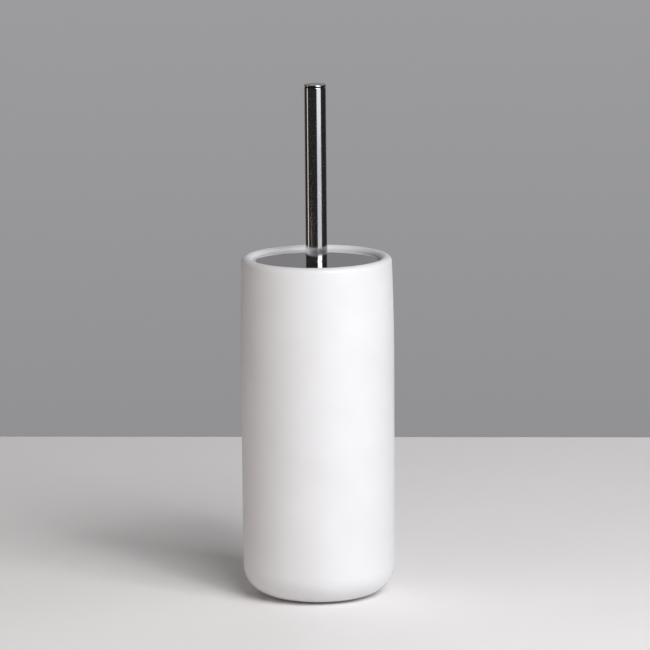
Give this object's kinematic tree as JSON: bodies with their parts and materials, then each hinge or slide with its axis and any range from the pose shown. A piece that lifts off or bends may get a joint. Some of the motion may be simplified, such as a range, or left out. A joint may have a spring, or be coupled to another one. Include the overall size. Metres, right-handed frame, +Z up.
{
  "type": "toilet brush holder",
  "caption": "Tall round ceramic canister on small pads, holding a toilet brush by a steel lid disc with an upright tube handle.",
  "frame": {"origin": "middle of the plane that the four foot pads stand on, on the canister's axis", "axes": "+Z up along the canister's and the handle's common axis; the front is -Y, and the object looks the same from all sides"},
  "size_m": [0.113, 0.113, 0.3792],
  "materials": {
    "ceramic": "matt white glaze",
    "polished_steel": "polished stainless steel",
    "plain_steel": "turned steel, hidden or threaded",
    "soft_seal": "translucent white soft plastic",
    "head_seal": "black soft washer",
    "foot_rubber": "dark soft rubber",
    "core_plastic": "moulded white plastic",
    "bristle": "white nylon filaments"
  },
  "bodies": {
    "holder": {"holder_body": "ceramic", "foot_pad_1": "foot_rubber", "foot_pad_2": "foot_rubber", "foot_pad_3": "foot_rubber", "foot_pad_4": "foot_rubber"},
    "cushion": {"lid_cushion": "soft_seal"},
    "brush": {"lid_disc": "polished_steel", "clamp_washer": "plain_steel", "handle_tube": "polished_steel", "handle_end_cap": "polished_steel", "handle_insert": "plain_steel", "lid_stud": "plain_steel", "stem_tube": "polished_steel", "stem_top_plug": "plain_steel", "stem_bottom_plug": "plain_steel"},
    "washer": {"head_washer": "head_seal"},
    "head": {"head_stud": "plain_steel", "brush_core": "core_plastic", "bristle_row_1": "bristle", "bristle_row_2": "bristle", "bristle_row_3": "bristle", "bristle_row_4": "bristle", "bristle_row_5": "bristle", "bristle_row_6": "bristle", "bristle_row_7": "bristle", "bristle_row_8": "bristle", "bristle_tip": "bristle"}
  },
  "joints": [
    {"name": "brush_lift", "type": "slide", "parent": "holder", "child": "cushion", "axis": [0, 0, 1], "range_m": [0, 0.26]},
    {"name": "brush_spin", "type": "hinge", "parent": "cushion", "child": "brush", "pos_m": [0, 0, 0.2479], "axis": [0, 0, 1], "continuous": true},
    {"name": "head_drop", "type": "slide", "parent": "brush", "child": "washer", "axis": [0, 0, -1], "range_m": [0, 0.0121]},
    {"name": "head_unscrew", "type": "hinge", "parent": "washer", "child": "head", "pos_m": [0, 0, 0.126], "axis": [0, 0, -1], "range_deg": [0, 2160]}
  ],
  "couplings": [
    {"joint": "head_drop", "follows": "head_unscrew", "m_per_rad": 0.00031831}
  ]
}
